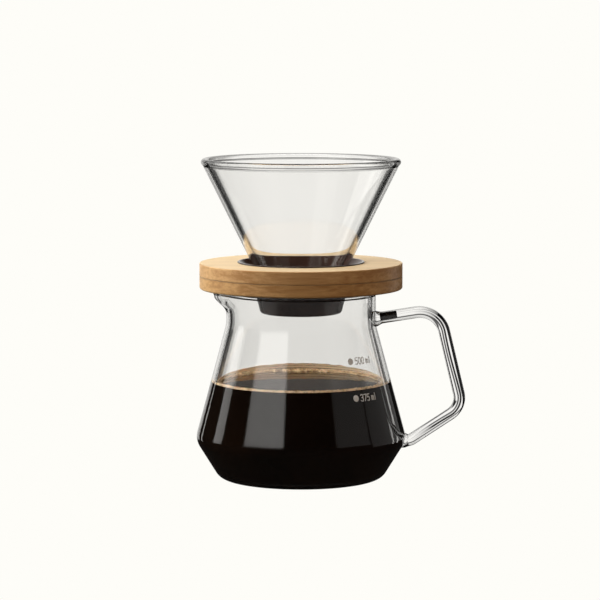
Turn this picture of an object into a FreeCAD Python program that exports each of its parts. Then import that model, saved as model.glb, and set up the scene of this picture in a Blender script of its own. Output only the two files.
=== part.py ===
"""Pour over dripper: a glass cone in a bamboo collar, standing on a glass server.

Millimetres, +Z up. The origin is the centre of the server's flat base, the
handle points along +X and the pouring lip along -X.
"""
import FreeCAD, Part
import math
import os

# Server: a conical glass jug with a low shoulder and a straight neck. The
# corners are where the straight walls would meet before they are rounded.
glass_wall = 3.2
base_radius = 45.0
base_rounding = 8.0
shoulder_radius = 58.6
shoulder_height = 21.9
shoulder_rounding = 10.0
neck_radius = 41.4
neck_height = 85.9
neck_rounding = 20.0
mouth_height = 105.3
rim_rounding = 1.2

# Pouring lip: a bulge of the neck's wall that grows towards the mouth.
lip_depth = 6.7
lip_spread = 10.0
lip_start_height = 92.5
lip_full_height = 101.5
lip_sections = 8
lip_sink = 0.6

# Handle: one bent glass rod, welded to the neck and to the shoulder.
rod_radius = 3.3
rod_neck_end = (42.4, 88.9)
rod_upper_bend = (76.2, 94.2)
rod_lower_bend = (89.2, 39.7)
rod_foot_bend = (60.5, 20.8)
upper_bend_radius = 14.0
lower_bend_radius = 11.0
foot_bend_radius = 5.0
weld_radius = 1.5
weld_depth = 4.0

# Printed volume marks: a dot and a text that runs to the right of it.
mark_thickness = 0.12
mark_volumes = (375, 500)
mark_dot_radius = 1.75
mark_dot_azimuth = 35.6
mark_text_height = 3.4
mark_letter_width = 1.7
mark_letter_pitch = 2.35
mark_word_gap = 1.1
mark_text_start = 3.3
mark_stroke = 0.5

# Coffee and the ring of foam on it.
coffee_volume = 400
foam_height = 0.8
foam_width = 5.5

# Dripper glass: a cone, open at both ends, with a rolled rim.
cone_reference_radius = 27.15
cone_reference_height = 119.5
cone_slope = 0.5
cone_wall = 3.35
cone_bottom = 97.5
bead_radius = 2.0
bead_centre_radius = 53.1
bead_centre_height = 175.3
cone_end_rounding = 1.2

# Bamboo collar: two plies with a hole for the holder.
collar_radius = 56.0
collar_hole_radius = 33.6
collar_bottom = 105.5
collar_ply = 7.2
collar_top_edge = 0.6
collar_bottom_edge = 1.2

# Holder: the lower plastic half, with the plug that hangs in the mouth.
plug_radius = 25.0
plug_tip_radius = 22.4
plug_bottom = 91.9
plug_rounding = 2.4
plastic_wall = 2.0
drip_hole_radius = 10.5
flange_bottom = 103.0
flange_radius = 37.8
flange_tip_radius = 37.4
groove_radius = 36.4
groove_bottom = 103.4
groove_top = 104.9
tube_radius = 33.4
tube_top = 117.0
moulded_edge = 0.5
moulded_corner = 0.8
sharp_edge = 0.15

# Seat ring: the upper plastic half, a dish round the glass cone.
lip_outer_radius = 35.1
lip_height = 0.7
dish_radius = 27.4
dish_height = 115.4
dish_wall = 1.2
lip_width = 1.2
seat_play = 0.9
seat_wall = 2.5
seat_bottom = 106.0
barrel_wall = 1.8
barrel_bottom = 105.3
barrel_play = 0.2
snap_height = 109.0
snap_depth = 0.5
snap_flat = 0.4

# Silicone gaskets: one round the plug's flange, one round the glass cone.
gasket_play = 0.1
gasket_groove = 0.4
cone_gasket_bottom = 108.5
cone_gasket_top = 113.0
cone_gasket_wall = 1.9

origin = FreeCAD.Vector(0, 0, 0)
vertical = FreeCAD.Vector(0, 0, 1)


def corner_arc(before, corner, after, rounding):
    """The arc that rounds a corner, or nothing where the corner is sharp."""
    if rounding == 0:
        return None
    back = (before - corner).normalize()
    ahead = (after - corner).normalize()
    half_angle = back.getAngle(ahead) / 2
    inwards = (back + ahead).normalize()
    setback = rounding / math.tan(half_angle)
    middle = corner + inwards * (rounding / math.sin(half_angle) - rounding)
    return Part.Arc(corner + back * setback, middle, corner + ahead * setback)


def rounded_wire(corners, closed=True):
    """A wire in the XZ plane through (radius, height, rounding) corners."""
    points = [FreeCAD.Vector(corner[0], 0, corner[1]) for corner in corners]
    arcs = []
    for index, corner in enumerate(corners):
        rounding = corner[2] if len(corner) > 2 else 0
        after = points[(index + 1) % len(points)]
        arcs.append(corner_arc(points[index - 1], points[index], after, rounding))
    edges = []
    for index in range(0 if closed else 1, len(points)):
        start = arcs[index - 1].EndPoint if arcs[index - 1] else points[index - 1]
        end = arcs[index].StartPoint if arcs[index] else points[index]
        edges.append(Part.LineSegment(start, end).toShape())
        if arcs[index]:
            edges.append(arcs[index].toShape())
    return Part.Wire(edges)


def turned(corners):
    """A solid of revolution round Z from a closed outline."""
    face = Part.Face(rounded_wire(corners))
    return face.revolve(origin, vertical, 360)


def inset(corners, wall):
    """The corners of the inner outline, one wall inside the outer one."""
    sides = []
    for start, end in zip(corners, corners[1:]):
        run = math.hypot(end[0] - start[0], end[1] - start[1])
        along = ((end[0] - start[0]) / run, (end[1] - start[1]) / run)
        sides.append(((start[0] - along[1] * wall, start[1] + along[0] * wall), along))
    inner = [(0, sides[0][0][1])]
    for corner, (first, along), (second, next_along) in zip(corners[1:], sides, sides[1:]):
        turn = along[0] * next_along[1] - along[1] * next_along[0]
        across = (second[0] - first[0]) * next_along[1] - (second[1] - first[1]) * next_along[0]
        reach = across / turn
        point = (first[0] + along[0] * reach, first[1] + along[1] * reach)
        inner.append((point[0], point[1], corner[2] - math.copysign(wall, turn)))
    inner.append((sides[-1][0][0], corners[-1][1]))
    return inner


def jug_outline():
    """The server's outer outline, from the middle of its base to its mouth."""
    return [
        (0, 0),
        (base_radius, 0, base_rounding),
        (shoulder_radius, shoulder_height, shoulder_rounding),
        (neck_radius, neck_height, neck_rounding),
        (neck_radius, mouth_height),
    ]


def lip_section(radius, height, depth):
    """One closed level curve of the pouring lip."""
    points = []
    for degree in range(0, 360, 5):
        from_lip = (degree - 180) / lip_spread
        reach = radius - lip_sink + depth * math.exp(-from_lip * from_lip / 2)
        angle = math.radians(degree)
        points.append(FreeCAD.Vector(reach * math.cos(angle), reach * math.sin(angle), height))
    curve = Part.BSplineCurve()
    curve.interpolate(Points=points, PeriodicFlag=True)
    return Part.Wire([curve.toShape()])


def lip_solid(radius):
    """The bulge for the pouring lip, sunk a little into the neck elsewhere."""
    sections = []
    for step in range(lip_sections):
        rise = step / (lip_sections - 1)
        height = lip_start_height + rise * (lip_full_height - lip_start_height)
        depth = (lip_depth + lip_sink) * rise * rise * (3 - 2 * rise)
        sections.append(lip_section(radius, height, depth))
    sections.append(lip_section(radius, mouth_height, lip_depth + lip_sink))
    return Part.makeLoft(sections, True)


def jug_outer():
    """Everything inside the server's outer surface."""
    body = turned(jug_outline() + [(0, mouth_height)])
    return body.fuse(lip_solid(neck_radius))


def jug_cavity():
    """The space inside the server, up to the mouth."""
    outline = inset(jug_outline(), glass_wall)
    body = turned(outline + [(0, mouth_height)])
    return body.fuse(lip_solid(neck_radius - glass_wall))


def server_body(outer, cavity):
    """The glass server, with a fire-polished rim."""
    body = outer.cut(cavity)
    rim = [edge for edge in body.Edges if edge.BoundBox.ZMin > mouth_height - 0.01]
    return body.makeFillet(rim_rounding, rim)


def rod_point(place):
    """A point of the handle's centre line."""
    return FreeCAD.Vector(place[0], 0, place[1])


def server_handle(outer):
    """The bent glass rod, with a fillet of glass where each end is welded."""
    neck_end = rod_point(rod_neck_end)
    first_run = (rod_point(rod_upper_bend) - neck_end).normalize()
    start = neck_end - first_run * weld_depth
    path = rounded_wire([
        (start.x, start.z),
        rod_upper_bend + (upper_bend_radius,),
        rod_lower_bend + (lower_bend_radius,),
        rod_foot_bend + (foot_bend_radius,),
        (shoulder_radius - 2 * weld_depth, rod_foot_bend[1]),
    ], closed=False)
    section = Part.Wire([Part.makeCircle(rod_radius, start, first_run)])
    rod = path.makePipeShell([section], True, False)
    joined = outer.fuse(rod)
    welds = [edge for edge in joined.Edges if is_weld(edge, outer)]
    return joined.makeFillet(weld_radius, welds).cut(outer)


def is_weld(edge, outer):
    """True where an edge runs round one end of the rod, on the jug."""
    box = edge.BoundBox
    round_rod = box.XMin > neck_radius - 1 and 1 < box.YLength < 3 * rod_radius
    middle = edge.valueAt((edge.FirstParameter + edge.LastParameter) / 2)
    on_jug = outer.distToShape(Part.Vertex(middle))[0] < 0.01
    return round_rod and on_jug


def level_for(volume, cavity):
    """The height that a volume in millilitres fills the server to."""
    low = 0.0
    high = mouth_height
    while high - low > 0.01:
        level = (low + high) / 2
        filled = slice_of(cavity, 0, level)
        if filled.Volume < volume * 1000:
            low = level
        else:
            high = level
    return (low + high) / 2


def slice_of(shape, bottom, top):
    """The part of a shape between two heights."""
    slab = Part.makeCylinder(2 * shoulder_radius, top - bottom, FreeCAD.Vector(0, 0, bottom))
    return shape.common(slab)


def crema_ring(cavity, level):
    """The ring of foam that clings to the glass."""
    ring = slice_of(cavity, level, level + foam_height)
    inner_radius = ring.BoundBox.XMax - foam_width
    return ring.cut(Part.makeCylinder(inner_radius, mouth_height))


# Strokes of the few letters that the marks need, in a box one unit square.
letters = {
    "0": [[(0, 0.3), (0, 0.7), (0.3, 1), (0.7, 1), (1, 0.7), (1, 0.3), (0.7, 0), (0.3, 0), (0, 0.3)]],
    "3": [[(0, 0.9), (0.3, 1), (0.8, 1), (1, 0.8), (0.8, 0.55), (0.4, 0.55)],
          [(0.8, 0.55), (1, 0.3), (0.8, 0), (0.3, 0), (0, 0.1)]],
    "5": [[(1, 1), (0.1, 1), (0, 0.55), (0.7, 0.6), (1, 0.3), (0.7, 0), (0, 0.05)]],
    "7": [[(0, 1), (1, 1), (0.35, 0)]],
    "m": [[(0, 0), (0, 0.65)], [(0, 0.5), (0.3, 0.65), (0.5, 0.5), (0.5, 0)],
          [(0.5, 0.5), (0.8, 0.65), (1, 0.5), (1, 0)]],
    "l": [[(0.3, 1), (0.3, 0)]],
}


def wall_radius(height):
    """The radius of the server's conical outer wall at a height."""
    taper = (shoulder_radius - neck_radius) / (neck_height - shoulder_height)
    return shoulder_radius - taper * (height - shoulder_height)


def stroke_solids(start, end):
    """One straight stroke with round ends, in XZ, as deep as the wall needs."""
    depth = 2 * glass_wall
    first = FreeCAD.Vector(start[0], -depth / 2, start[1])
    last = FreeCAD.Vector(end[0], -depth / 2, end[1])
    along = last - first
    bar = Part.makeBox(along.Length, depth, mark_stroke, FreeCAD.Vector(0, 0, -mark_stroke / 2))
    tilt = math.degrees(math.atan2(along.z, along.x))
    bar.rotate(origin, FreeCAD.Vector(0, -1, 0), tilt)
    bar.translate(first)
    across = FreeCAD.Vector(0, 1, 0)
    ends = [Part.makeCylinder(mark_stroke / 2, depth, point, across) for point in (first, last)]
    return [bar] + ends


def letter_solid(letter):
    """One letter, standing in XZ with its lower left corner at the origin."""
    solids = []
    for line in letters[letter]:
        points = [(x * mark_letter_width, (y - 0.5) * mark_text_height) for x, y in line]
        for start, end in zip(points, points[1:]):
            solids += stroke_solids(start, end)
    return solids[0].multiFuse(solids[1:])


def on_wall(shape, height, shift):
    """Move a shape from the origin to the wall, a distance along from the dot."""
    radius = wall_radius(height)
    shape.translate(FreeCAD.Vector(0, -radius, height))
    shape.rotate(origin, vertical, mark_dot_azimuth + math.degrees(shift / radius))
    return shape


def volume_mark(volume, height):
    """A dot and its text, printed on the outside of the server."""
    dot = Part.makeCylinder(mark_dot_radius, 2 * glass_wall, FreeCAD.Vector(0, -glass_wall, 0),
                            FreeCAD.Vector(0, 1, 0))
    shapes = [on_wall(dot, height, 0)]
    shift = mark_text_start
    for letter in f"{volume} ml":
        if letter == " ":
            shift += mark_word_gap
            continue
        shapes.append(on_wall(letter_solid(letter), height, shift))
        shift += mark_letter_pitch
    bottom = height - mark_text_height
    top = height + mark_text_height
    film = turned([
        (wall_radius(bottom), bottom),
        (wall_radius(bottom) + mark_thickness, bottom),
        (wall_radius(top) + mark_thickness, top),
        (wall_radius(top), top),
    ])
    return Part.makeCompound([film.common(shape) for shape in shapes])


def cone_radius(height):
    """The outer radius of the dripper glass at a height."""
    return cone_reference_radius + cone_slope * (height - cone_reference_height)


def bead_corner(radius):
    """Where a cone wall that has this radius at the bead's height joins the bead."""
    slant = math.atan(cone_slope)
    distance = (radius - bead_centre_radius) * math.cos(slant)
    half_chord = math.sqrt(bead_radius ** 2 - distance ** 2)
    return (
        bead_centre_radius + distance * math.cos(slant) - half_chord * math.sin(slant),
        bead_centre_height - distance * math.sin(slant) - half_chord * math.cos(slant),
    )


def dripper_cone():
    """The glass cone with its rolled rim."""
    rim_radius = cone_radius(bead_centre_height)
    inner = bead_corner(rim_radius - cone_wall)
    outer = bead_corner(rim_radius)
    wall = rounded_wire([
        inner,
        (cone_radius(cone_bottom) - cone_wall, cone_bottom, cone_end_rounding),
        (cone_radius(cone_bottom), cone_bottom, cone_end_rounding),
        outer,
    ], closed=False)
    top = FreeCAD.Vector(bead_centre_radius, 0, bead_centre_height + bead_radius)
    bead = Part.Arc(FreeCAD.Vector(outer[0], 0, outer[1]), top, FreeCAD.Vector(inner[0], 0, inner[1]))
    outline = Part.Wire(wall.Edges + [bead.toShape()])
    return Part.Face(outline).revolve(origin, vertical, 360)


def collar_bottom_ply():
    """The lower bamboo ply, with the collar's rounded bottom edge."""
    middle = collar_bottom + collar_ply
    return turned([
        (collar_hole_radius, collar_bottom),
        (collar_radius, collar_bottom, collar_bottom_edge),
        (collar_radius, middle),
        (collar_hole_radius, middle),
    ])


def collar_top_ply():
    """The upper bamboo ply, with a slightly broken top edge."""
    middle = collar_bottom + collar_ply
    top = middle + collar_ply
    return turned([
        (collar_hole_radius, middle),
        (collar_radius, middle),
        (collar_radius, top, collar_top_edge),
        (collar_hole_radius, top),
    ])


def holder_neck():
    """The lower plastic half: plug, flange with its groove, and snap tube."""
    bore = tube_radius - plastic_wall
    floor = plug_bottom + plastic_wall
    flange_floor = flange_bottom + plastic_wall
    taper = (plug_radius - plug_tip_radius) / (flange_bottom - plug_bottom)
    plug_bore = plug_radius - plastic_wall + taper * plastic_wall
    return turned([
        (drip_hole_radius, plug_bottom),
        (plug_tip_radius, plug_bottom, plug_rounding),
        (plug_radius, flange_bottom, moulded_corner),
        (flange_tip_radius, flange_bottom, sharp_edge),
        (flange_tip_radius, groove_bottom, sharp_edge),
        (groove_radius, groove_bottom),
        (groove_radius, groove_top),
        (flange_radius, groove_top, sharp_edge),
        (flange_radius, collar_bottom),
        (tube_radius, collar_bottom),
        (tube_radius, tube_top),
        (bore, tube_top, moulded_edge),
        (bore, snap_height + 2 * snap_depth),
        (bore + snap_depth, snap_height + snap_depth),
        (bore + snap_depth, snap_height - snap_depth),
        (bore, snap_height - 2 * snap_depth),
        (bore, flange_floor, moulded_edge),
        (plug_bore, flange_floor, moulded_edge),
        (plug_tip_radius - plastic_wall, floor, moulded_edge),
        (drip_hole_radius, floor, moulded_edge),
    ])


def seat_ring():
    """The upper plastic half: dish, seat for the cone, and snap barrel."""
    top = collar_bottom + 2 * collar_ply
    barrel = tube_radius - plastic_wall - barrel_play
    inner = seat_play
    outer = seat_play + seat_wall
    recess = cone_gasket_wall + 2 * gasket_play
    under_dish = dish_height - dish_wall
    return turned([
        (cone_radius(seat_bottom) + inner, seat_bottom),
        (cone_radius(seat_bottom) + outer, seat_bottom, moulded_edge),
        (cone_radius(under_dish) + outer, under_dish),
        (barrel - barrel_wall, under_dish),
        (barrel - barrel_wall, barrel_bottom, moulded_edge),
        (barrel, barrel_bottom, moulded_edge),
        (barrel, snap_height - snap_depth),
        (barrel + snap_depth, snap_height - snap_flat / 2),
        (barrel + snap_depth, snap_height + snap_flat / 2),
        (barrel, snap_height + snap_depth),
        (barrel, tube_top + barrel_play),
        (tube_radius, tube_top + barrel_play),
        (tube_radius, top),
        (lip_outer_radius, top),
        (lip_outer_radius, top + lip_height, moulded_edge),
        (lip_outer_radius - lip_width, top + lip_height, moulded_edge),
        (dish_radius, dish_height, 2.0),
        (cone_radius(dish_height) + inner, dish_height, sharp_edge),
        (cone_radius(cone_gasket_top) + inner, cone_gasket_top),
        (cone_radius(cone_gasket_top) + recess, cone_gasket_top),
        (cone_radius(cone_gasket_bottom) + recess, cone_gasket_bottom),
        (cone_radius(cone_gasket_bottom) + inner, cone_gasket_bottom),
    ])


def mouth_gasket():
    """The silicone ring that seals the flange in the server's mouth."""
    inner = groove_radius + gasket_play
    outer = neck_radius - glass_wall - gasket_play
    bottom = groove_bottom + gasket_play
    top = groove_top - gasket_play
    middle = (bottom + top) / 2
    return turned([
        (inner, bottom),
        (outer, bottom, 0.2),
        (outer, middle - gasket_groove / 2),
        (outer - gasket_groove, middle),
        (outer, middle + gasket_groove / 2),
        (outer, top, 0.2),
        (inner, top),
    ])


def cone_gasket():
    """The silicone ring that the glass cone sits in."""
    bottom = cone_gasket_bottom + gasket_play
    top = cone_gasket_top - gasket_play
    inner = 1.5 * gasket_play
    return turned([
        (cone_radius(bottom) + inner, bottom, 0.3),
        (cone_radius(bottom) + cone_gasket_wall + gasket_play, bottom),
        (cone_radius(top) + cone_gasket_wall + gasket_play, top),
        (cone_radius(top) + inner, top, 0.3),
    ])


def build():
    """Every piece of the object, by node name."""
    outer = jug_outer()
    cavity = jug_cavity()
    coffee_level = level_for(coffee_volume, cavity)
    pieces = {
        "server_body": server_body(outer, cavity),
        "server_handle": server_handle(outer),
        "coffee": slice_of(cavity, 0, coffee_level),
        "crema_ring": crema_ring(cavity, coffee_level),
        "holder_neck": holder_neck(),
        "seat_ring": seat_ring(),
        "collar_bottom_ply": collar_bottom_ply(),
        "collar_top_ply": collar_top_ply(),
        "mouth_gasket": mouth_gasket(),
        "cone_gasket": cone_gasket(),
        "dripper_cone": dripper_cone(),
    }
    for volume in mark_volumes:
        height = level_for(volume, cavity)
        pieces[f"volume_mark_{volume}"] = volume_mark(volume, height)
        print(f"{volume} ml at {height:.2f} mm")
    print(f"coffee level {coffee_level:.2f} mm")
    return pieces


os.makedirs("parts", exist_ok=True)
for name, shape in build().items():
    print(name, shape.ShapeType, len(shape.Solids), len(shape.Faces), shape.isValid(), round(shape.Volume, 1))
    shape.exportStep(f"parts/{name}.step")
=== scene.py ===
import math

import bpy
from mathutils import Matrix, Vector, noise


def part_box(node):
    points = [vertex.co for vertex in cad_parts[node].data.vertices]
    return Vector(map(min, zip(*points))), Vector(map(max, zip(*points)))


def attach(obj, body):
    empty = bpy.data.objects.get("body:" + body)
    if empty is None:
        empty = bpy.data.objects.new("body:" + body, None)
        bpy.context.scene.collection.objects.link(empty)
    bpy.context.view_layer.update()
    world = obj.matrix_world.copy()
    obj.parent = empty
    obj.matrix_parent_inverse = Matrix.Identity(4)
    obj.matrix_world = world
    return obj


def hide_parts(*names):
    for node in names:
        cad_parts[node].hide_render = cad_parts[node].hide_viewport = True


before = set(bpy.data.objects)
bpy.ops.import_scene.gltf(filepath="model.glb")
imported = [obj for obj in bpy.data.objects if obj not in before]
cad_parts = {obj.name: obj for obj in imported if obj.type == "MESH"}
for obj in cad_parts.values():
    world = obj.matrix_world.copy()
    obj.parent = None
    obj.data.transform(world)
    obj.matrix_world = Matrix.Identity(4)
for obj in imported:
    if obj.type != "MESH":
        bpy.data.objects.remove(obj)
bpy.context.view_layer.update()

MM = 0.001
ROUND = 256  # sides of a lathed piece
STEP = 1.5  # longest run between two points of an outline
INSIDE_BOX = 0.012  # the CAD's box is that of its facets, a hair inside its arcs

# Sizes in millimetres, as in the CAD source.
glass_wall = 3.2
base_radius = 45.0
shoulder_radius = 58.6
shoulder_height = 21.9
neck_radius = 41.4
neck_height = 85.9
lip_depth = 6.7
lip_spread = 10.0
lip_start_height = 92.5
lip_full_height = 101.5
rod_radius = 3.3
cone_wall = 3.35
cone_slope = 0.5
bead_radius = 2.0
flange_bottom = 103.0
flange_radius = 37.8
flange_lip_radius = 37.4
groove_radius = 36.4
groove_bottom, groove_top = 103.4, 104.9
plug_radius = 25.0
plug_foot_radius = 22.4
drip_hole_radius = 10.5
snap_radius = 31.4
tube_radius = 33.4
tube_top = 117.0
collar_hole_radius = 33.6
seat_bottom = 106.0
seat_skirt_top = 114.2
gasket_seat_bottom, gasket_seat_top = 108.5, 113.0
cone_reference = (27.15, 119.5)

mouth_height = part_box("server_body")[1].z / MM
coffee_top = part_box("coffee")[1].z / MM
cone_low, cone_high = [corner.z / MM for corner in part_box("dripper_cone")]
bead_centre = (53.1, cone_high - bead_radius)
collar_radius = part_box("collar_top_ply")[1].x / MM
collar_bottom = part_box("collar_bottom_ply")[0].z / MM
collar_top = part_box("collar_top_ply")[1].z / MM
ply_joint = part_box("collar_bottom_ply")[1].z / MM
dish_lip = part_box("seat_ring")[1] / MM
plug_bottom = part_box("holder_neck")[0].z / MM

PALE = (0.991, 0.982, 0.939)


# ---------------------------------------------------------------- outlines

def rounded(corners, closed=True, arc_step=7.0):
    """Points of an outline through (radius, height, rounding) corners."""
    count = len(corners)
    points = []
    for index, corner in enumerate(corners):
        here = Vector((corner[0], corner[1]))
        rounding = corner[2] if len(corner) > 2 else 0
        if rounding == 0:
            points.append(here)
            continue
        back = (Vector(corners[index - 1][:2]) - here).normalized()
        ahead = (Vector(corners[(index + 1) % count][:2]) - here).normalized()
        half = back.angle(ahead) / 2
        centre = here + (back + ahead).normalized() * (rounding / math.sin(half))
        start = here + back * (rounding / math.tan(half)) - centre
        end = here + ahead * (rounding / math.tan(half)) - centre
        turn = start.angle_signed(end)
        steps = max(3, math.ceil(abs(math.degrees(turn)) / arc_step))
        for step in range(steps + 1):
            points.append(centre + turned_vector(start, turn * step / steps))
    return with_support(points, closed)


def turned_vector(vector, angle):
    """A flat vector turned clockwise, the way angle_signed counts."""
    cosine, sine = math.cos(angle), math.sin(angle)
    return Vector((vector.x * cosine + vector.y * sine, vector.y * cosine - vector.x * sine))


def with_support(points, closed):
    """The same outline, with its long straight runs divided."""
    result = []
    last = len(points) if closed else len(points) - 1
    for index in range(last):
        start, end = points[index], points[(index + 1) % len(points)]
        steps = max(1, math.ceil((end - start).length / STEP))
        result += [start.lerp(end, step / steps) for step in range(steps)]
    return result if closed else result + [points[-1]]


def inset(corners, wall):
    """The corners of the inner outline, one wall inside the outer one."""
    sides = []
    for start, end in zip(corners, corners[1:]):
        along = (Vector(end[:2]) - Vector(start[:2])).normalized()
        sides.append((Vector(start[:2]) + Vector((-along.y, along.x)) * wall, along))
    inner = [(0, sides[0][0].y)]
    for corner, (first, along), (second, following) in zip(corners[1:], sides, sides[1:]):
        turn = along.x * following.y - along.y * following.x
        reach = ((second.x - first.x) * following.y - (second.y - first.y) * following.x) / turn
        point = first + along * reach
        inner.append((point.x, point.y, corner[2] - math.copysign(wall, turn)))
    inner.append((sides[-1][0].x, corners[-1][1]))
    return inner


# ------------------------------------------------------------------ meshes

def new_object(name, vertices, faces, material, crease=40):
    """A mesh object from points in millimetres."""
    mesh = bpy.data.meshes.new(name)
    mesh.from_pydata([[value * MM for value in vertex] for vertex in vertices], [], faces)
    mesh.validate()
    mesh.shade_smooth()
    mesh.set_sharp_from_angle(angle=math.radians(crease))
    piece = bpy.data.objects.new(name, mesh)
    bpy.context.scene.collection.objects.link(piece)
    mesh.materials.append(material)
    return piece


def lathe(name, outline, material, closed=True, shift=None, round_steps=ROUND):
    """A solid of revolution; shift may move each (radius, height, azimuth)."""
    vertices, rings = [], []
    for point in outline:
        if abs(point.x) < 1e-6:
            rings.append([len(vertices)])
            vertices.append((0, 0, point.y))
            continue
        rings.append(range(len(vertices), len(vertices) + round_steps))
        for step in range(round_steps):
            azimuth = 2 * math.pi * step / round_steps
            radius, height = shift(point.x, point.y, azimuth) if shift else point
            vertices.append((radius * math.cos(azimuth), radius * math.sin(azimuth), height))
    faces = []
    pairs = list(zip(rings, rings[1:]))
    if closed:
        pairs.append((rings[-1], rings[0]))
    for lower, upper in pairs:
        faces += band(lower, upper, round_steps)
    return new_object(name, vertices, faces, material)


def line_inside(piece, material, radius_at):
    """A second material for the faces inside a radius that varies with height."""
    piece.data.materials.append(material)
    for polygon in piece.data.polygons:
        place = polygon.center / MM
        if math.hypot(place.x, place.y) < radius_at(place.z):
            polygon.material_index = 1


def band(lower, upper, round_steps):
    """The faces between two rings, either of which may be a single point."""
    faces = []
    for step in range(round_steps):
        after = (step + 1) % round_steps
        if len(lower) == 1 and len(upper) == 1:
            continue
        if len(lower) == 1:
            faces.append((lower[0], upper[after], upper[step]))
        elif len(upper) == 1:
            faces.append((lower[step], lower[after], upper[0]))
        else:
            faces.append((lower[step], lower[after], upper[after], upper[step]))
    return faces


# --------------------------------------------------------------- materials

def new_material(name):
    """A material with its Principled shader and a node maker."""
    material = bpy.data.materials.new(name)
    material.use_nodes = True
    tree = material.node_tree
    shader = tree.nodes["Principled BSDF"]

    def node(kind, **values):
        made = tree.nodes.new(kind)
        for key, value in values.items():
            if key in made.inputs:
                made.inputs[key].default_value = value
            else:
                setattr(made, key, value)
        return made

    return material, tree.links.new, node, shader


def ramp(node, stops):
    """A colour ramp with (position, colour) stops."""
    made = node("ShaderNodeValToRGB")
    elements = made.color_ramp.elements
    while len(elements) < len(stops):
        elements.new(0.5)
    for element, (position, colour) in zip(elements, stops):
        element.position = position
        element.color = (*colour, 1)
    return made


def clear_glass(name, painted_shade_stops, clarity=1.0, waviness=12.0, streaks=None):
    """Clear glass, with painted shade in its base colour.

    The second argument gives (facing, grey) stops from seen square to edge on:
    the glass is painted darker at glancing angles, standing in for the dark
    edges that refraction and reflection give. streaks names a point colour of
    painted shade that takes over from those stops by its alpha.
    """
    material, link, node, shader = new_material(name)
    shader.inputs["Roughness"].default_value = 0.0
    shader.inputs["IOR"].default_value = 1.47
    shader.inputs["Transmission Weight"].default_value = 1.0
    weight = node("ShaderNodeLayerWeight", Blend=0.5)
    greys = [(facing, grey * clarity) for facing, grey in painted_shade_stops]
    colours = ramp(node, [(facing, (grey, grey, grey * 0.99)) for facing, grey in greys])
    link(weight.outputs["Facing"], colours.inputs["Fac"])
    colour = colours.outputs["Color"]
    if streaks:
        share = node("ShaderNodeAttribute")
        share.attribute_name = streaks
        mixed = node("ShaderNodeMix", data_type="RGBA")
        link(share.outputs["Alpha"], mixed.inputs[0])
        link(colour, mixed.inputs[6])
        link(share.outputs["Color"], mixed.inputs[7])
        colour = mixed.outputs[2]
    link(colour, shader.inputs["Base Color"])
    place = node("ShaderNodeTexCoord")
    waves = node("ShaderNodeTexNoise", Scale=waviness, Detail=1.0)
    bump = node("ShaderNodeBump", Strength=0.04, Distance=0.002)
    link(place.outputs["Object"], waves.inputs["Vector"])
    link(waves.outputs["Fac"], bump.inputs["Height"])
    link(bump.outputs["Normal"], shader.inputs["Normal"])
    return material


def dark_plastic(name, colour, roughness, specular=0.5):
    """Dark brown moulded plastic with a fine texture."""
    material, link, node, shader = new_material(name)
    shader.inputs["IOR"].default_value = 1.5
    shader.inputs["Specular IOR Level"].default_value = specular
    place = node("ShaderNodeTexCoord")
    cloud = node("ShaderNodeTexNoise", Scale=90.0, Detail=4.0)
    deep, light = [[value * share for value in colour] for share in (0.8, 1.25)]
    tint = ramp(node, [(0.3, deep), (0.7, light)])
    sheen = node("ShaderNodeMapRange")
    sheen.inputs["To Min"].default_value = roughness * 0.8
    sheen.inputs["To Max"].default_value = roughness * 1.25
    grain = node("ShaderNodeTexNoise", Scale=2200.0, Detail=2.0)
    bump = node("ShaderNodeBump", Strength=0.08, Distance=0.0001)
    link(place.outputs["Object"], cloud.inputs["Vector"])
    link(place.outputs["Object"], grain.inputs["Vector"])
    link(cloud.outputs["Fac"], tint.inputs["Fac"])
    link(cloud.outputs["Fac"], sheen.inputs["Value"])
    link(tint.outputs["Color"], shader.inputs["Base Color"])
    link(sheen.outputs["Result"], shader.inputs["Roughness"])
    link(grain.outputs["Fac"], bump.inputs["Height"])
    link(bump.outputs["Normal"], shader.inputs["Normal"])
    return material


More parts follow.
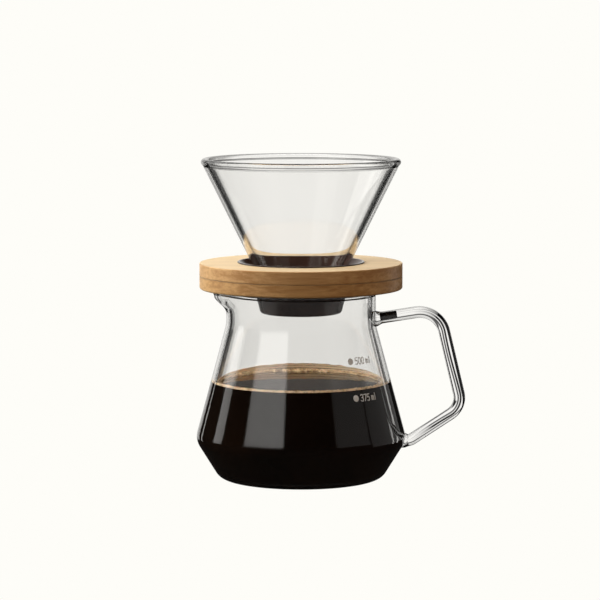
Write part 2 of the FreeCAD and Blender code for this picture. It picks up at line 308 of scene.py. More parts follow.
def bamboo(name, light, dark, offset, joint):
    """Oiled bamboo: long fibres along X, broad streaks, faint strips and a glue line, with upward
    faces painted paler as painted top light.
    """
    material, link, node, shader = new_material(name)
    strip_width = 0.0185
    shader.inputs["IOR"].default_value = 1.45
    shader.inputs["Specular IOR Level"].default_value = 0.3
    shader.inputs["Coat Weight"].default_value = 0.2
    shader.inputs["Coat Roughness"].default_value = 0.3
    shader.inputs["Sheen Weight"].default_value = 0.3
    shader.inputs["Sheen Tint"].default_value = (1.0, 0.88, 0.60, 1)
    shader.inputs["Sheen Roughness"].default_value = 0.5
    place = node("ShaderNodeTexCoord")
    shifted = node("ShaderNodeMapping")
    shifted.inputs["Location"].default_value = (offset, offset * 0.37, 0)
    link(place.outputs["Object"], shifted.inputs["Vector"])

    def stretched_noise(scale, detail, roughness):
        mapped = node("ShaderNodeMapping")
        mapped.inputs["Scale"].default_value = scale
        cloud = node("ShaderNodeTexNoise", Scale=1.0, Detail=detail, Roughness=roughness,
                     Distortion=0.3)
        link(shifted.outputs["Vector"], mapped.inputs["Vector"])
        link(mapped.outputs["Vector"], cloud.inputs["Vector"])
        return cloud.outputs["Fac"]

    fibres = stretched_noise((16, 420, 620), 6.0, 0.7)
    streaks = stretched_noise((10, 60, 190), 3.0, 0.5)
    parts = node("ShaderNodeSeparateXYZ")
    link(shifted.outputs["Vector"], parts.inputs["Vector"])
    strip = node("ShaderNodeMath", operation="MULTIPLY")
    strip.inputs[1].default_value = 1 / strip_width
    link(parts.outputs["Y"], strip.inputs[0])
    number = node("ShaderNodeMath", operation="FLOOR")
    link(strip.outputs[0], number.inputs[0])
    chance = node("ShaderNodeTexWhiteNoise", noise_dimensions="1D")
    link(number.outputs[0], chance.inputs["W"])
    mixed = node("ShaderNodeMath", operation="ADD")
    link(fibres, mixed.inputs[0])
    link(streaks, mixed.inputs[1])
    tinted = node("ShaderNodeMath", operation="MULTIPLY_ADD")
    tinted.inputs[1].default_value = 0.08
    link(chance.outputs["Value"], tinted.inputs[0])
    link(mixed.outputs[0], tinted.inputs[2])
    middle = [(a + b) / 2 for a, b in zip(light, dark)]
    colours = ramp(node, [(0.25, dark), (0.5, middle), (0.75, light)])
    scaled = node("ShaderNodeMapRange")
    scaled.inputs["From Min"].default_value = 0.70
    scaled.inputs["From Max"].default_value = 1.38
    link(tinted.outputs[0], scaled.inputs["Value"])
    link(scaled.outputs["Result"], colours.inputs["Fac"])
    levels = node("ShaderNodeSeparateXYZ")
    link(place.outputs["Object"], levels.inputs["Vector"])
    above = node("ShaderNodeMath", operation="SUBTRACT")
    above.inputs[1].default_value = joint
    link(levels.outputs["Z"], above.inputs[0])
    away = node("ShaderNodeMath", operation="ABSOLUTE")
    link(above.outputs[0], away.inputs[0])
    glue = node("ShaderNodeMapRange")
    glue.inputs["From Min"].default_value = 0.0002
    glue.inputs["From Max"].default_value = 0.0007
    glue.inputs["To Min"].default_value = 0.7
    glue.inputs["To Max"].default_value = 0.0
    link(away.outputs[0], glue.inputs["Value"])
    kept = node("ShaderNodeMapRange")
    kept.inputs["From Min"].default_value = 0.38
    kept.inputs["From Max"].default_value = 0.62
    broken = node("ShaderNodeMath", operation="MULTIPLY")
    link(streaks, kept.inputs["Value"])
    link(glue.outputs["Result"], broken.inputs[0])
    link(kept.outputs["Result"], broken.inputs[1])
    lined = node("ShaderNodeMix", data_type="RGBA")
    lined.inputs[7].default_value = (*[value * 0.3 for value in dark], 1)
    # Painted top light: faces turned upwards are mixed towards a pale tan, as if lit from above.
    facing = node("ShaderNodeNewGeometry")
    upward = node("ShaderNodeSeparateXYZ")
    painted_top_light_share = node("ShaderNodeMapRange")
    painted_top_light_share.inputs["From Min"].default_value = 0.5
    painted_top_light_share.inputs["To Max"].default_value = 0.38
    with_painted_top_light = node("ShaderNodeMix", data_type="RGBA")
    with_painted_top_light.inputs[7].default_value = (0.76, 0.63, 0.41, 1)
    link(facing.outputs["Normal"], upward.inputs["Vector"])
    link(upward.outputs["Z"], painted_top_light_share.inputs["Value"])
    link(painted_top_light_share.outputs["Result"], with_painted_top_light.inputs[0])
    link(colours.outputs["Color"], with_painted_top_light.inputs[6])
    link(broken.outputs[0], lined.inputs[0])
    link(with_painted_top_light.outputs[2], lined.inputs[6])
    link(lined.outputs[2], shader.inputs["Base Color"])
    gloss = node("ShaderNodeMapRange")
    gloss.inputs["To Min"].default_value = 0.62
    gloss.inputs["To Max"].default_value = 0.42
    link(fibres, gloss.inputs["Value"])
    link(gloss.outputs["Result"], shader.inputs["Roughness"])
    bump = node("ShaderNodeBump", Strength=0.25, Distance=0.0002)
    link(fibres, bump.inputs["Height"])
    link(bump.outputs["Normal"], shader.inputs["Normal"])
    return material


def liquid(name, colour, edge, specular, roughness):
    """Black coffee, its tone and gloss varying at random between two colours."""
    material, link, node, shader = new_material(name)
    shader.inputs["IOR"].default_value = 1.33
    shader.inputs["Specular IOR Level"].default_value = specular
    place = node("ShaderNodeTexCoord")
    cloud = node("ShaderNodeTexNoise", Scale=35.0, Detail=3.0)
    link(place.outputs["Object"], cloud.inputs["Vector"])
    colours = ramp(node, [(0.35, colour), (0.75, edge)])
    link(cloud.outputs["Fac"], colours.inputs["Fac"])
    link(colours.outputs["Color"], shader.inputs["Base Color"])
    gloss = node("ShaderNodeMapRange")
    gloss.inputs["To Min"].default_value = roughness * 0.7
    gloss.inputs["To Max"].default_value = roughness * 1.3
    link(cloud.outputs["Fac"], gloss.inputs["Value"])
    link(gloss.outputs["Result"], shader.inputs["Roughness"])
    return material


def foam(name, light, dark, clear=0.0):
    """Coffee foam with small bubbles, or a banded film that lets light by.

    clear is how much light the film lets by at its thinnest, or 0 for foam.
    """
    material, link, node, shader = new_material(name)
    shader.inputs["Roughness"].default_value = 0.45
    shader.inputs["Subsurface Weight"].default_value = 0.25
    shader.inputs["Subsurface Radius"].default_value = (0.002, 0.001, 0.0005)
    place = node("ShaderNodeTexCoord")
    bubbles = node("ShaderNodeTexVoronoi", Scale=900.0)
    patches = node("ShaderNodeTexNoise", Scale=220.0, Detail=4.0)
    link(place.outputs["Object"], bubbles.inputs["Vector"])
    if clear:
        level = node("ShaderNodeMapping")
        level.inputs["Scale"].default_value = (15, 15, 1300)
        patches.inputs["Scale"].default_value = 1.0
        link(place.outputs["Object"], level.inputs["Vector"])
        link(level.outputs["Vector"], patches.inputs["Vector"])
    else:
        link(place.outputs["Object"], patches.inputs["Vector"])
    total = node("ShaderNodeMath", operation="MULTIPLY_ADD")
    total.inputs[1].default_value = 0.12 if clear else 0.35
    link(bubbles.outputs["Distance"], total.inputs[0])
    link(patches.outputs["Fac"], total.inputs[2])
    low, high = (0.43, 0.57) if clear else (0.42, 0.75)
    colours = ramp(node, [(low, dark), (high, light)])
    link(total.outputs[0], colours.inputs["Fac"])
    link(colours.outputs["Color"], shader.inputs["Base Color"])
    if clear:
        bands = node("ShaderNodeTexNoise", Scale=0.8, Detail=3.0)
        cover = node("ShaderNodeMapRange")
        cover.inputs["From Min"].default_value = 0.35
        cover.inputs["From Max"].default_value = 0.65
        cover.inputs["To Min"].default_value = 1 - clear
        cover.inputs["To Max"].default_value = 1.0
        link(level.outputs["Vector"], bands.inputs["Vector"])
        link(bands.outputs["Fac"], cover.inputs["Value"])
        link(cover.outputs["Result"], shader.inputs["Alpha"])
    bump = node("ShaderNodeBump", Strength=0.6, Distance=0.0003)
    link(bubbles.outputs["Distance"], bump.inputs["Height"])
    link(bump.outputs["Normal"], shader.inputs["Normal"])
    return material


def enamel(name):
    """Pale grey printed enamel, a little uneven."""
    material, link, node, shader = new_material(name)
    shader.inputs["Roughness"].default_value = 0.4
    place = node("ShaderNodeTexCoord")
    speckle = node("ShaderNodeTexNoise", Scale=1500.0, Detail=3.0)
    link(place.outputs["Object"], speckle.inputs["Vector"])
    colours = ramp(node, [(0.3, (0.72, 0.74, 0.76)), (0.75, (0.86, 0.88, 0.90))])
    link(speckle.outputs["Fac"], colours.inputs["Fac"])
    link(colours.outputs["Color"], shader.inputs["Base Color"])
    return material


# How clear the glass is painted, from seen square (0) to edge on (1): painted shade, darker at
# glancing angles and, on the rod, in bands, standing in for the dark edges and lines that refraction
# and reflection give.
outer_painted_edge_shade = ((0.0, 0.97), (0.55, 0.95), (0.80, 0.80), (0.92, 0.20), (1.0, 0.05))
inner_painted_edge_shade = ((0.0, 0.97), (0.62, 0.94), (0.70, 0.70), (0.735, 0.03), (1.0, 0.008))
rim_painted_edge_shade = ((0.0, 0.97), (0.30, 0.95), (0.46, 0.25), (1.0, 0.02))
rod_painted_shade_bands = ((0.0, 0.97), (0.10, 0.95), (0.13, 0.45), (0.16, 0.5), (0.20, 0.95), (0.5, 0.75),
             (0.62, 0.1), (1.0, 0.03))
server_glass = clear_glass("server_glass", outer_painted_edge_shade, 0.93)
server_inside = clear_glass("server_glass_inside", inner_painted_edge_shade, 0.93)
server_rim = clear_glass("server_glass_rim", rim_painted_edge_shade, 0.93)
cone_glass = clear_glass("cone_glass", outer_painted_edge_shade)
cone_inside = clear_glass("cone_glass_inside", inner_painted_edge_shade)
rim_glass = clear_glass("cone_glass_rim", rim_painted_edge_shade)
handle_glass = clear_glass("handle_glass", rod_painted_shade_bands, 1.0, 25.0, "painted_rod_streaks")
seat_plastic = dark_plastic("seat_plastic", (0.030, 0.014, 0.010), 0.2, 0.15)
seat_lip = dark_plastic("seat_lip", (0.020, 0.010, 0.008), 0.15, 0.4)
neck_plastic = dark_plastic("neck_plastic", (0.022, 0.011, 0.009), 0.25, 0.06)
# A near-black material for the hollow in the rod: painted shade.
hollow_painted_shade = dark_plastic("handle_hollow_painted_shade", (0.012, 0.010, 0.009), 0.3)
silicone = dark_plastic("dark_silicone", (0.018, 0.013, 0.012), 0.5)
upper_bamboo = bamboo("upper_bamboo", (0.64, 0.38, 0.17), (0.44, 0.22, 0.08), 0.013, ply_joint * MM)
lower_bamboo = bamboo("lower_bamboo", (0.62, 0.36, 0.15), (0.40, 0.20, 0.07), 0.071, ply_joint * MM)
# The coffee's top is painted lighter and browner than its sides, painted top light on one liquid.
coffee_side = liquid("coffee_side", (0.0030, 0.0014, 0.0006), (0.005, 0.0022, 0.0009), 0.03, 0.3)
coffee_surface = liquid("coffee_surface", (0.026, 0.014, 0.008), (0.040, 0.022, 0.012), 0.5, 0.03)
crema_foam = foam("crema_foam", (0.78, 0.57, 0.35), (0.20, 0.11, 0.05))
film_foam = foam("film_foam", (0.84, 0.68, 0.48), (0.03, 0.018, 0.008), 0.25)
mark_enamel = enamel("mark_enamel")


# ------------------------------------------------------------ server glass

def lip_bulge(height, azimuth):
    """How far the pouring lip bulges at a height and an azimuth."""
    rise = (height - lip_start_height) / (lip_full_height - lip_start_height)
    rise = min(1.0, max(0.0, rise))
    from_lip = (math.degrees(azimuth) - 180) / lip_spread
    return lip_depth * rise * rise * (3 - 2 * rise) * math.exp(-from_lip * from_lip / 2)


def jug_corners():
    """The server's outer outline, from the middle of its base to its mouth."""
    return [
        (0, 0),
        (base_radius, 0, 8.0),
        (shoulder_radius, shoulder_height, 10.0),
        (neck_radius, neck_height, 20.0),
        (neck_radius, mouth_height),
    ]


def make_server():
    """The server's body, with its pouring lip and a fire-polished rim."""
    outer = jug_corners()
    inner = inset(outer, glass_wall)
    rim_radius = neck_radius + 0.55
    corners = outer[:-1] + [
        (neck_radius, mouth_height - 3.3, 0.6),
        (rim_radius, mouth_height - 2.5, 0.6),
        (rim_radius, mouth_height, 1.6),
        (neck_radius - glass_wall, mouth_height, 1.6),
    ] + inner[-2:0:-1] + [inner[0]]
    outline = rounded(corners, closed=False, arc_step=5.0)

    def shift(radius, height, azimuth):
        return radius - INSIDE_BOX + lip_bulge(height, azimuth), height

    def middle_of_wall(height):
        return wall_radius(min(height, neck_height)) + glass_wall / 2 if height > coffee_top else 0

    rim_depth = 3.1
    piece = lathe("server_glass_body", outline, server_glass, closed=False, shift=shift)
    # The inner faces above the coffee and the rim's faces take their own painted edge shade, darker at
    # glancing angles.
    line_inside(piece, server_inside, middle_of_wall)
    piece.data.materials.append(server_rim)
    for polygon in piece.data.polygons:
        if polygon.center.z > (mouth_height - rim_depth) * MM:
            polygon.material_index = 2
    piece.visible_shadow = False
    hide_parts("server_body")
    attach(piece, "server")
    return piece


def handle_route():
    """The centre line of the handle's rod, as points in XZ."""
    start = Vector((42.4, 88.9))
    first_bend = Vector((76.2, 94.2))
    inwards = (start - first_bend).normalized() * 2.2
    corners = [
        tuple(start + inwards),
        (*first_bend, 14.0),
        (89.2, 39.7, 11.0),
        (60.5, 20.8, 5.0),
        (shoulder_radius - 3.0, 20.8),
    ]
    bends = rounded(corners, closed=False, arc_step=4.0)
    route = [bends[0]]
    for before, after in zip(bends, bends[1:]):
        steps = max(1, math.ceil((after - before).length / 2.0))
        route += [before.lerp(after, step / steps) for step in range(1, steps + 1)]
    return route


def add_hollow(vertices, faces):
    """The small hollow inside the rod's upper end, by the weld, in a near-black material: painted
    shade for the dark look of the air pocket.
    """
    sides, first, last, radius = 24, Vector((43.4, 89.45)), Vector((53.0, 90.95)), 1.65
    along = (last - first).normalized()
    across = Vector((-along.y, along.x))
    rings = ((0.0, 0.8), (0.03, 1.0), (0.5, 1.0), (0.97, 0.92), (1.0, 0.75))
    start = len(vertices)
    for share, width in rings:
        centre = first.lerp(last, share)
        for side in range(sides):
            turn = 2 * math.pi * side / sides
            flat = centre + across * (radius * width * math.cos(turn))
            vertices.append((flat.x, radius * width * math.sin(turn), flat.y))
    for ring in range(len(rings) - 1):
        low = start + ring * sides
        for side in range(sides):
            after = (side + 1) % sides
            faces.append((low + side, low + after, low + sides + after, low + sides + side))
    faces.append(tuple(reversed(range(start, start + sides))))
    faces.append(tuple(range(len(vertices) - sides, len(vertices))))


def painted_rod_shade(sideways, length, height):
    """How clear the rod's front is painted at a share of its radius outwards: painted shade in dark
    streaks, standing in for the dark lines that refraction gives.
    """
    lower_run = min(1.0, max(0.0, (46 - height) / 10))
    edge = 0.44 + 0.40 * lower_run
    sway = sideways + 0.10 * math.sin(length / 8 + 1.0)
    dark = 0.0
    streaks = (
        (-1.20, -0.80, sideways, 0.8 * lower_run), (-0.46, -0.16, sway, 0.9),
        (-0.08, 0.28, sway, 0.97), (edge, 0.97, sideways, 1.0),
    )
    for low, high, place, strength in streaks:
        into = min(place - low, high - place) / 0.04
        dark = max(dark, strength * min(1.0, max(0.0, into)))
    return 0.97 * (1 - dark) ** 2


def make_handle():
    """The bent glass rod, thicker where each end is welded to the server."""
    route = handle_route()
    lengths = [0.0]
    for before, after in zip(route, route[1:]):
        lengths.append(lengths[-1] + (after - before).length)
    sides = 192
    vertices, faces, streaks = [], [], []
    for index, (point, length) in enumerate(zip(route, lengths)):
        before, after = route[max(0, index - 1)], route[min(len(route) - 1, index + 1)]
        along = (after - before).normalized()
        across = Vector((-along.y, along.x))
        upper_weld = math.exp(-((max(0.0, length - 1.6) / 1.5) ** 2))
        lower_weld = math.exp(-((max(0.0, lengths[-1] - length - 1.8) / 1.5) ** 2))
        swell = 1.1 * upper_weld + 0.9 * lower_weld
        start = 62 if point.y > 60 else 60
        heavy = min(1.0, max(0.0, (point.x - start) / 12))
        for side in range(sides):
            turn = 2 * math.pi * side / sides
            # Painted shade: dark streaks on the rod's front half, taking over from the painted edge
            # shade as heavy grows; the back half is painted clear.
            clear = painted_rod_shade(math.cos(turn), length, point.y) if turn > math.pi else 0.97
            streaks += [clear, clear, clear, heavy]
            ridge = 0.6 * math.cos(5 * turn + 0.9) + 0.4 * math.cos(8 * turn + 2.2) - 1
            radius = rod_radius * (1 + 0.02 * (0.25 + 0.75 * heavy) * ridge) + swell
            flat = point + across * (radius * math.cos(turn))
            vertices.append((flat.x, radius * math.sin(turn), flat.y))
    for ring in range(len(route) - 1):
        for side in range(sides):
            after = (side + 1) % sides
            low, high = ring * sides, (ring + 1) * sides
            faces.append((low + side, high + side, high + after, low + after))
    faces.append(tuple(range(sides)))
    faces.append(tuple(reversed(range(len(vertices) - sides, len(vertices)))))
    rod_faces = len(faces)
    add_hollow(vertices, faces)
    piece = new_object("server_glass_handle", vertices, faces, handle_glass)
    streaks += [0.0] * (4 * len(vertices) - len(streaks))
    attribute = piece.data.attributes.new("painted_rod_streaks", "FLOAT_COLOR", "POINT")
    attribute.data.foreach_set("color", streaks)
    # The hollow's faces take the near-black painted shade.
    piece.data.materials.append(hollow_painted_shade)
    for polygon in piece.data.polygons[rod_faces:]:
        polygon.material_index = 1
    piece.visible_shadow = False
    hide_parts("server_handle")
    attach(piece, "server")
    return piece


# ------------------------------------------------------------------ coffee

def wall_radius(height):
    """The radius of the server's inner wall at a height above the shoulder."""
    taper = (shoulder_radius - neck_radius) / (neck_height - shoulder_height)
    slant = math.sqrt(1 + taper * taper)
    return shoulder_radius - taper * (height - shoulder_height) - glass_wall * slant


def make_coffee():
    """The coffee, which beds into the glass by a hair so no air shows between."""
    bedding = 0.12
    inner = inset(jug_corners(), glass_wall - bedding)
    corners = inner[:-2] + [(wall_radius(coffee_top) + bedding, coffee_top), (0, coffee_top)]
    outline = rounded(corners, closed=False, arc_step=5.0)
    piece = lathe("coffee_liquid", outline, coffee_side, closed=False)
    # The top faces take the lighter surface material: painted top light.
    piece.data.materials.append(coffee_surface)
    for polygon in piece.data.polygons:
        if polygon.center.z > (coffee_top - 0.05) * MM and polygon.normal.z > 0.3:
            polygon.material_index = 1
    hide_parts("coffee")
    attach(piece, "server")
    return piece


def wobble(azimuth, scale, seed):
    """Smooth noise round the axis, from -1 to 1."""
    place = Vector((math.cos(azimuth) * scale, math.sin(azimuth) * scale, seed))
    return noise.noise(place)


def around(azimuth, radius, height):
    """A point by its azimuth, its radius from the axis and its height."""
    return radius * math.cos(azimuth), radius * math.sin(azimuth), height


def make_crema():
    """The uneven ring of foam on the coffee, along the glass."""
    steps, across = 1440, 12
    vertices, faces = [], []
    for step in range(steps):
        azimuth = 2 * math.pi * step / steps
        outer = wall_radius(coffee_top + 0.4) + 0.1
        width = 2.6 + 1.6 * wobble(azimuth, 2.5, 3.0) + 1.3 * wobble(azimuth, 14.0, 5.0)
        for part in range(across + 1):
            share = part / across
            crown = 1 - share ** 3
            place = Vector((math.cos(azimuth) * 60, math.sin(azimuth) * 60, share * 3))
            lumps = 0.80 * noise.noise(place) + 0.45 * noise.noise(place * 2.7)
            height = 0.0 if part in (0, across) else 0.15 + 0.75 * crown + lumps
            vertices.append(around(azimuth, outer - width * share, coffee_top + height))
        vertices.append(around(azimuth, outer - width / 2, coffee_top - 0.3))
    ring = across + 2
    for step in range(steps):
        low, high = step * ring, (step + 1) % steps * ring
        for part in range(ring):
            after = (part + 1) % ring
            faces.append((low + part, high + part, high + after, low + after))
    piece = new_object("crema_foam_ring", vertices, faces, crema_foam, crease=80)
    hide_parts("crema_ring")
    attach(piece, "server")
    return piece


def make_film():
    """The thin tan film on the inside of the glass, higher at the back."""
    steps, rows = 720, 10
    vertices, faces = [], []
    thickness = 0.1
    for step in range(steps):
        azimuth = 2 * math.pi * step / steps
        back = 0.5 + 0.5 * math.sin(azimuth)
        top = 0.9 + 3.6 * back ** 2 + 0.35 * wobble(azimuth, 9.0, 8.0)
        for layer in (0.02, 0.02 + thickness):
            for row in range(rows + 1):
                height = coffee_top + top * (row / rows if layer < thickness else 1 - row / rows)
                vertices.append(around(azimuth, wall_radius(height) - layer, height))
    ring = 2 * (rows + 1)
    for step in range(steps):
        low, high = step * ring, (step + 1) % steps * ring
        for part in range(ring):
            after = (part + 1) % ring
            faces.append((low + part, high + part, high + after, low + after))
    piece = new_object("crema_film", vertices, faces, film_foam, crease=60)
    piece.visible_shadow = False
    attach(piece, "server")
    return piece


# ----------------------------------------------------------------- dripper

def cone_radius(height):
    """The outer radius of the dripper glass at a height."""
    return cone_reference[0] + cone_slope * (height - cone_reference[1])


def bead_arc():
    """The rolled rim's section, from the outer wall over the top to the inner."""
    slant = math.atan(cone_slope)
    centre = Vector(bead_centre)
    rim = cone_radius(bead_centre[1])
    ends = []
    for radius in (rim, rim - cone_wall):
        distance = (radius - bead_centre[0]) * math.cos(slant)
        below = math.asin(math.sqrt(1 - (distance / bead_radius) ** 2))
        side = 0 if distance > 0 else math.pi
        ends.append(side - slant - below if distance > 0 else side - slant + below)
    first, last = ends
    steps = 44
    points = []
    for step in range(steps + 1):
        angle = first + (last - first) * step / steps
        points.append(centre + Vector((math.cos(angle), math.sin(angle))) * bead_radius)
    return points


def make_cone():
    """The dripper's glass cone with its rolled rim."""
    bead = bead_arc()
    low = (cone_radius(cone_low), cone_low, 1.2)
    low_inner = (low[0] - cone_wall, cone_low, 1.2)
    wall = rounded([tuple(bead[-1]), low_inner, low, tuple(bead[0])], closed=False)
    outline = wall[:-1] + bead[:-1]
    piece = lathe("dripper_glass_cone", outline, cone_glass)
    # The inner faces and the rolled rim take their own painted edge shade, darker at glancing angles.
    line_inside(piece, cone_inside, lambda height: cone_radius(height) - cone_wall / 2)
    piece.data.materials.append(rim_glass)
    for polygon in piece.data.polygons:
        place = polygon.center / MM
        from_bead = Vector((math.hypot(place.x, place.y), place.z)) - Vector(bead_centre)
        if from_bead.length < bead_radius + 0.05:
            polygon.material_index = 2
    piece.visible_shadow = False
    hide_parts("dripper_cone")
    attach(piece, "cone")
    return piece


def make_collar():
    """The two bamboo plies of the collar."""
    gap = 0.03
    lower = rounded([
        (collar_hole_radius, collar_bottom),
        (collar_radius, collar_bottom, 1.2),
        (collar_radius, ply_joint - gap, 0.2),
        (collar_hole_radius, ply_joint - gap),
    ])
    upper = rounded([
        (collar_hole_radius, ply_joint + gap),
        (collar_radius, ply_joint + gap, 0.2),
        (collar_radius, collar_top, 0.6),
        (collar_hole_radius, collar_top, 0.3),
    ])
    for name, outline, material, node, slot in (
        ("bamboo_ply_lower", lower, lower_bamboo, "collar_bottom_ply", "bamboo_lower"),
        ("bamboo_ply_upper", upper, upper_bamboo, "collar_top_ply", "bamboo_upper"),
    ):
        piece = lathe(name, outline, material)
        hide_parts(node)
        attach(piece, "holder")


def make_neck():
    """The lower plastic half: plug, flange with its groove, and snap tube."""
    floor = plug_bottom + 2.0
    flange_floor = flange_bottom + 2.0
    notch = snap_radius + 0.5
    outline = rounded([
        (drip_hole_radius, plug_bottom, 0.3), (plug_foot_radius, plug_bottom, 2.4),
        (plug_radius, flange_bottom, 0.8), (flange_lip_radius, flange_bottom, 0.15),
        (flange_lip_radius, groove_bottom, 0.15), (groove_radius, groove_bottom),
        (groove_radius, groove_top), (flange_radius, groove_top, 0.15),
        (flange_radius, collar_bottom), (tube_radius, collar_bottom),
        (tube_radius, tube_top, 0.2), (snap_radius, tube_top, 0.4),
        (snap_radius, 110.0), (notch, 109.5), (notch, 108.5), (snap_radius, 108.0),
        (snap_radius, flange_floor, 0.5), (23.5, flange_floor, 0.5),
        (20.4, floor, 0.5), (drip_hole_radius, floor, 0.5),
    ])
    piece = lathe("holder_neck_plug", outline, neck_plastic)
    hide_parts("holder_neck")
    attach(piece, "holder")


def make_seat():
    """The upper plastic half: the dish with its lip, and the cone's seat."""
    play = 0.9
    skirt = play + 2.5
    recess = 2.1
    dish_bottom = 115.4
    inner_tube, outer_tube, snap_bead = 29.4, 31.2, 31.7

    def beside_cone(height, distance, *rounding):
        return (cone_radius(height) + distance, height, *rounding)

    outline = rounded([
        beside_cone(seat_bottom, play, 0.2), beside_cone(seat_bottom, skirt, 0.5),
        beside_cone(seat_skirt_top, skirt), (inner_tube, seat_skirt_top),
        (inner_tube, 105.3, 0.4), (outer_tube, 105.3, 0.4),
        (outer_tube, 108.5), (snap_bead, 108.8), (snap_bead, 109.2), (outer_tube, 109.5),
        (outer_tube, tube_top + 0.2), (tube_radius, tube_top + 0.2),
        (tube_radius, collar_top), (dish_lip.x, collar_top), (dish_lip.x, dish_lip.z, 0.45),
        (dish_lip.x - 1.2, dish_lip.z, 0.4), (27.4, dish_bottom, 2.0),
        beside_cone(dish_bottom, play, 0.3), beside_cone(gasket_seat_top, play),
        beside_cone(gasket_seat_top, recess), beside_cone(gasket_seat_bottom, recess),
        beside_cone(gasket_seat_bottom, play),
    ])
    lip_width = 1.4
    piece = lathe("seat_ring_dish", outline, seat_plastic)
    piece.data.materials.append(seat_lip)
    for polygon in piece.data.polygons:
        place = polygon.center / MM
        if place.z > collar_top and math.hypot(place.x, place.y) > dish_lip.x - lip_width:
            polygon.material_index = 1
    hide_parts("seat_ring")
    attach(piece, "holder")


def dress_cad_nodes():
    """Materials for the CAD nodes that are shown as they are."""
    finishes = {
        "mouth_gasket": silicone,
        "cone_gasket": silicone,
        "volume_mark_375": mark_enamel,
        "volume_mark_500": mark_enamel,
    }
    for name, material in finishes.items():
        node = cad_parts[name]
        node.data.materials.clear()
        node.data.materials.append(material)


# ------------------------------------------------------------------ studio

def emitter(name, colour, strength):
    """A material that only gives off light."""
    material, _, _, shader = new_material(name)
    shader.inputs["Base Color"].default_value = (0, 0, 0, 1)
    shader.inputs["Specular IOR Level"].default_value = 0.0
    shader.inputs["Emission Color"].default_value = (*colour, 1)
    shader.inputs["Emission Strength"].default_value = strength
    return material


def hide_from(thing, *kinds):
    """Keep a staged object or a light out of some kinds of ray."""
    for kind in kinds:
        setattr(thing, "visible_" + kind, False)


def make_floor():
    """The plain pale floor, seen by the camera only."""
    size, level = 12000, -0.3
    vertices = [(x, y, level) for x, y in ((-size, -size), (size, -size), (size, size), (-size, size))]
    floor = new_object("studio_floor", vertices, [(0, 1, 2, 3)], emitter("pale_floor", PALE, 1.0))
    hide_from(floor, "glossy", "transmission", "diffuse", "shadow")


def make_dome(name, dark, patches, *hidden):
    """A sphere of light round the object: dark, with soft-edged pale patches.

    A patch is its lowest and highest azimuth and elevation, the softness of
    its edges, all in degrees, and its brightness. Azimuth 0 is the camera's
    side, positive to its left.
    """
    dome_radius = 9.0
    bpy.ops.mesh.primitive_uv_sphere_add(segments=64, ring_count=32, radius=dome_radius)
    dome = bpy.context.object
    dome.name = name
    material = bpy.data.materials.new(name)
    material.use_nodes = True
    tree = material.node_tree
    tree.nodes.clear()
    link = tree.links.new

    def calculate(operation, *values):
        made = tree.nodes.new("ShaderNodeMath")
        made.operation = operation
        for socket, value in zip(made.inputs, values):
            if isinstance(value, (int, float)):
                socket.default_value = value
            else:
                link(value, socket)
        return made.outputs[0]

    def between(angle, low, high, soft):
        """1 where an angle in radians lies between two in degrees."""
        masks = []
        for edge, sign in ((low, 1), (high, -1)):
            mask = tree.nodes.new("ShaderNodeMapRange")
            mask.interpolation_type = "SMOOTHSTEP"
            mask.inputs["From Min"].default_value = math.radians(edge - sign * soft)
            mask.inputs["From Max"].default_value = math.radians(edge + sign * soft)
            link(angle, mask.inputs["Value"])
            masks.append(mask.outputs["Result"])
        return calculate("MULTIPLY", *masks)

    place = tree.nodes.new("ShaderNodeTexCoord")
    unit = tree.nodes.new("ShaderNodeVectorMath")
    unit.operation = "NORMALIZE"
    parts = tree.nodes.new("ShaderNodeSeparateXYZ")
    link(place.outputs["Object"], unit.inputs[0])
    link(unit.outputs["Vector"], parts.inputs["Vector"])
    elevation = calculate("ARCSINE", parts.outputs["Z"])
    backwards = calculate("MULTIPLY", parts.outputs["Y"], -1.0)
    leftwards = calculate("MULTIPLY", parts.outputs["X"], -1.0)
    azimuth = calculate("ARCTAN2", leftwards, backwards)
    level = dark
    for first, last, low, high, soft, brightness in patches:
        sides_soft, heights_soft = soft if isinstance(soft, tuple) else (soft, soft)
        sides = between(azimuth, first, last, sides_soft)
        heights = between(elevation, low, high, heights_soft)
        patch = calculate("MULTIPLY", calculate("MULTIPLY", heights, sides), brightness)
        level = calculate("MAXIMUM", level, patch)
    glow = tree.nodes.new("ShaderNodeEmission")
    glow.inputs["Color"].default_value = (1.0, 0.985, 0.955, 1)
    out = tree.nodes.new("ShaderNodeOutputMaterial")
    link(level, glow.inputs["Strength"])
    link(glow.outputs["Emission"], out.inputs["Surface"])
    dome.data.materials.append(material)
    hide_from(dome, "camera", "diffuse", "shadow", *hidden)


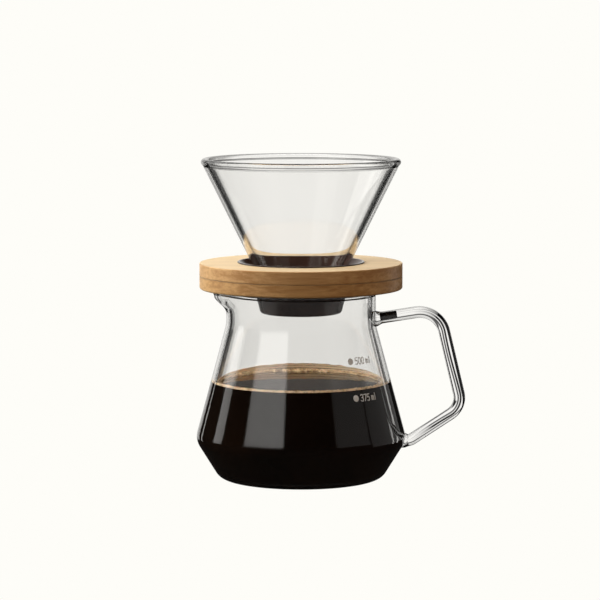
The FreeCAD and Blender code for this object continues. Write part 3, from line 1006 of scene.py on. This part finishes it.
def make_surroundings():
    """What is seen through the glass, and what is mirrored in it."""
    pale = []  # patches on both sides, then single ones
    for side in (1, -1):
        for first, last, *rest in (
            (152, 200, -11, 5, 1.5, 1.0), (157, 200, -95, -11, 1.5, 1.0),
            (150, 200, 3, 13, 1.5, 0.14), (140, 200, 13, 60, 2.0, 0.85),
            (42, 138, -11, 3, 1.5, 0.9), (42, 134, -95, -11, 1.5, 0.9),
            (37, 60, -95, 3, (8.0, 1.5), 0.9),
        ):
            pale.append((*sorted((side * first, side * last)), *rest))
    pale += [
        (-27, 27, -95, -7.5, 0.7, 0.9), (-40, 40, -8.5, 12, (5.0, 1.0), 0.35),
        (-200, 200, -95, -24, (1.0, 4.0), 0.9), (-142, -98, 3, 22, 2.0, 0.9),
        (20, 66, 8, 36, (4.0, 12.0), 2.0), (98, 124, 3, 28, 2.0, 2.0),
    ]
    make_dome("seen_through_glass", 0.03, pale, "glossy")
    mirrored = (
        (152, 200, -9, 35, 2.0, 0.9), (-200, -166, -9, 35, 2.0, 0.9),
        (-200, 200, 70, 95, 3.0, 3.0), (20, 66, 9, 38, (2.5, 13.0), 2.7),
        (28, 62, 44, 60, 3.0, 0.8), (98, 142, 10, 38, 2.0, 2.2),
        (98, 112, -2, 28, 1.5, 2.2), (140, 143, -10, 25, 0.7, 1.5),
        (-83, -40, 5, 50, 2.0, 0.3), (-146, -85, -8, 30, 1.0, 0.3),
        (-124, -120, -10, 18, 1.0, 2.5), (-135, -131, -10, 18, 1.0, 2.5),
    )
    make_dome("mirrored_in_glass", 0.012, mirrored, "transmission")


def direction(azimuth, elevation):
    """A unit vector; azimuth 0 is the camera's side, positive to its left."""
    a, e = math.radians(azimuth), math.radians(elevation)
    return Vector((-math.sin(a) * math.cos(e), -math.cos(a) * math.cos(e), math.sin(e)))


def soft_box(name, azimuth, elevation, distance, width, height, radiance, colour):
    """A rectangular area light that faces the object."""
    light = bpy.data.lights.new(name, "AREA")
    light.shape = "RECTANGLE"
    light.size, light.size_y = width, height
    light.energy = radiance * math.pi * width * height
    light.color = colour
    lamp = bpy.data.objects.new(name, light)
    bpy.context.scene.collection.objects.link(lamp)
    towards = direction(azimuth, elevation)
    lamp.location = Vector((0, 0, 0.09)) + towards * distance
    lamp.rotation_euler = towards.to_track_quat("Z", "Y").to_euler()
    hide_from(lamp, "camera", "glossy", "transmission")


def make_lights():
    """Key light from the left, weak front fill, soft top light: for dull surfaces."""
    soft_box("key_left", 97, 25, 0.7, 0.5, 0.35, 12.0, (0.98, 1.0, 1.0))
    soft_box("front_left", 50, 25, 1.3, 0.9, 0.5, 3.0, (1.0, 0.90, 0.78))
    soft_box("front_right", -45, 20, 1.3, 0.9, 0.5, 3.3, (1.0, 0.82, 0.66))
    soft_box("top_light", 150, 75, 1.4, 0.8, 0.8, 5.2, (1.0, 0.97, 0.82))


def make_world():
    """The same pale tone as the floor, for the camera only."""
    world = bpy.data.worlds.new("studio_world")
    bpy.context.scene.world = world
    world.use_nodes = True
    shade = world.node_tree.nodes["Background"]
    shade.inputs["Color"].default_value = (*PALE, 1)
    shade.inputs["Strength"].default_value = 1.0
    world.cycles_visibility.diffuse = False
    world.cycles_visibility.glossy = False
    world.cycles_visibility.transmission = False


def make_camera():
    """The camera, level with the collar and a little above it."""
    camera = bpy.data.cameras.new("camera")
    camera.lens = 173.8
    camera.sensor_width = 36
    camera.clip_end = 50
    viewer = bpy.data.objects.new("camera", camera)
    bpy.context.scene.collection.objects.link(viewer)
    target = Vector((-0.00055, 0, 0.099))
    towards = direction(0, 6.0)
    viewer.location = target + towards * 1.6
    viewer.rotation_euler = towards.to_track_quat("Z", "Y").to_euler()
    bpy.context.scene.camera = viewer


make_server()
make_handle()
make_coffee()
make_crema()
make_film()
make_cone()
make_collar()
make_neck()
make_seat()
dress_cad_nodes()
make_world()
make_floor()
make_surroundings()
make_lights()
make_camera()
bpy.context.scene.view_settings.view_transform = "Standard"
